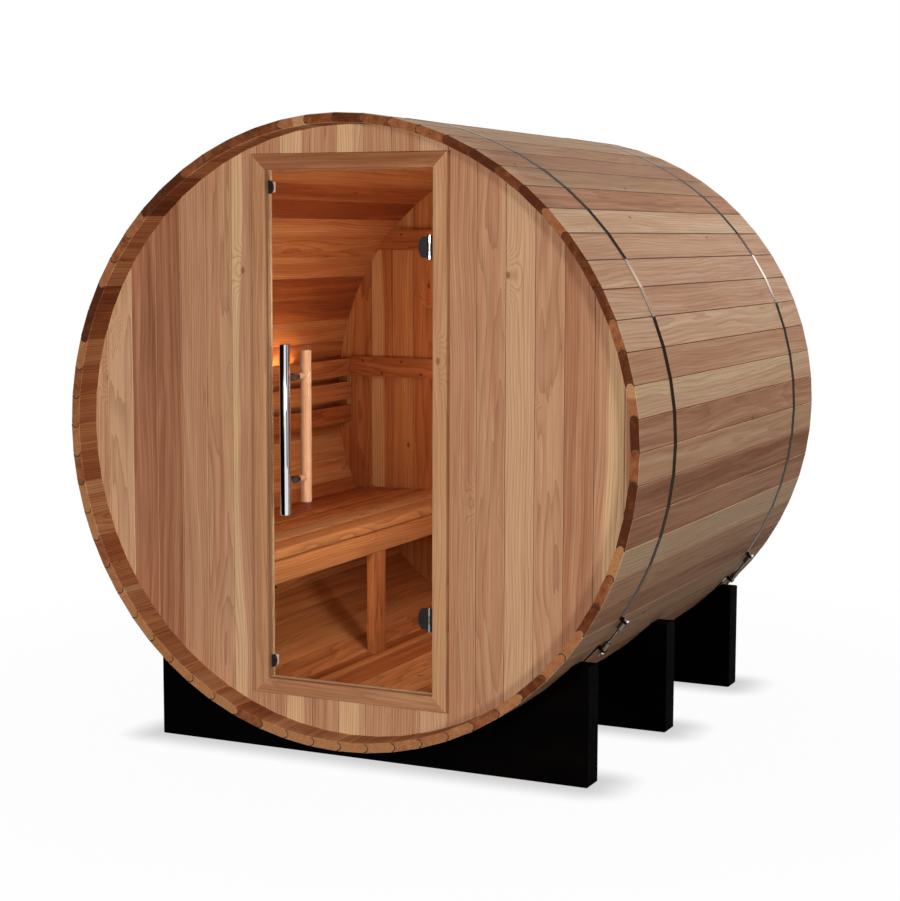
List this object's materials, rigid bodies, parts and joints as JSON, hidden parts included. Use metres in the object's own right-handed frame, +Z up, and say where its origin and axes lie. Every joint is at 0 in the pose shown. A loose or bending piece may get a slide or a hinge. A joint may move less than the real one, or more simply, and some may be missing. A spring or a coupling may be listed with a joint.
{
  "type": "barrel sauna",
  "caption": "Barrel sauna: a lying barrel of wooden staves held by steel bands on cradles, with round board walls, a framed glass door, a bench and a slatted backrest.",
  "frame": {"origin": "on the ground under the middle of the barrel", "axes": "+Z up, +Y along the barrel axis from the door to the back wall, +X to the right as seen from in front of the door"},
  "size_m": [1.8222, 1.776, 1.8871],
  "materials": {
    "barrel_cedar": "outer cedar staves, weathered a little, matte",
    "wall_cedar": "cedar boards with V grooves, planed, matte",
    "frame_cedar": "pale planed cedar, matte",
    "cabin_wood": "warm orange-brown cedar, planed, satin",
    "clear_glass": "clear tempered glass",
    "bright_steel": "polished",
    "black_metal": "black, satin",
    "ivory_plastic": "off-white, matte",
    "light_diffuser": "milky light strip",
    "band_steel": "stainless, brushed",
    "cradle_black": "timber painted near-black, matte"
  },
  "bodies": {
    "cabin": {"staves_right_upper": "barrel_cedar", "staves_top_right": "barrel_cedar", "staves_top_left": "barrel_cedar", "staves_left_upper": "barrel_cedar", "staves_left_lower": "barrel_cedar", "staves_bottom_left": "barrel_cedar", "staves_bottom_right": "barrel_cedar", "staves_right_lower": "barrel_cedar", "front_wall_left": "wall_cedar", "front_wall_right": "wall_cedar", "front_wall_over_door": "wall_cedar", "front_wall_under_door": "wall_cedar", "back_wall": "cabin_wood", "back_wall_battens": "cabin_wood", "door_jambs": "frame_cedar", "door_head": "frame_cedar", "door_sill": "frame_cedar", "casing_left": "frame_cedar", "casing_right": "frame_cedar", "casing_top": "frame_cedar", "casing_bottom": "frame_cedar", "hinge_leaves": "bright_steel", "catch_magnets": "ivory_plastic", "band_front": "band_steel", "band_back": "band_steel", "tensioner_bolts": "band_steel", "cradle_front": "cradle_black", "cradle_middle": "cradle_black", "cradle_back": "cradle_black", "floor_boards": "cabin_wood", "floor_bearers": "cabin_wood", "bench_seat": "cabin_wood", "bench_fascia": "cabin_wood", "bench_post": "cabin_wood", "bench_bearers": "cabin_wood", "backrest_slats": "cabin_wood", "backrest_supports": "cabin_wood", "backrest_light": "light_diffuser"},
    "door": {"door_glass": "clear_glass", "hinge_clamps": "black_metal", "catch_clips": "black_metal", "handle_bar": "bright_steel", "handle_fixings": "bright_steel", "handle_grip": "frame_cedar", "handle_grip_posts": "frame_cedar"}
  },
  "joints": [
    {"name": "door_hinge", "type": "hinge", "parent": "cabin", "child": "door", "pos_m": [0.258, -0.813, 0.9865], "axis": [0, 0, 1], "range_deg": [0, 110]}
  ]
}
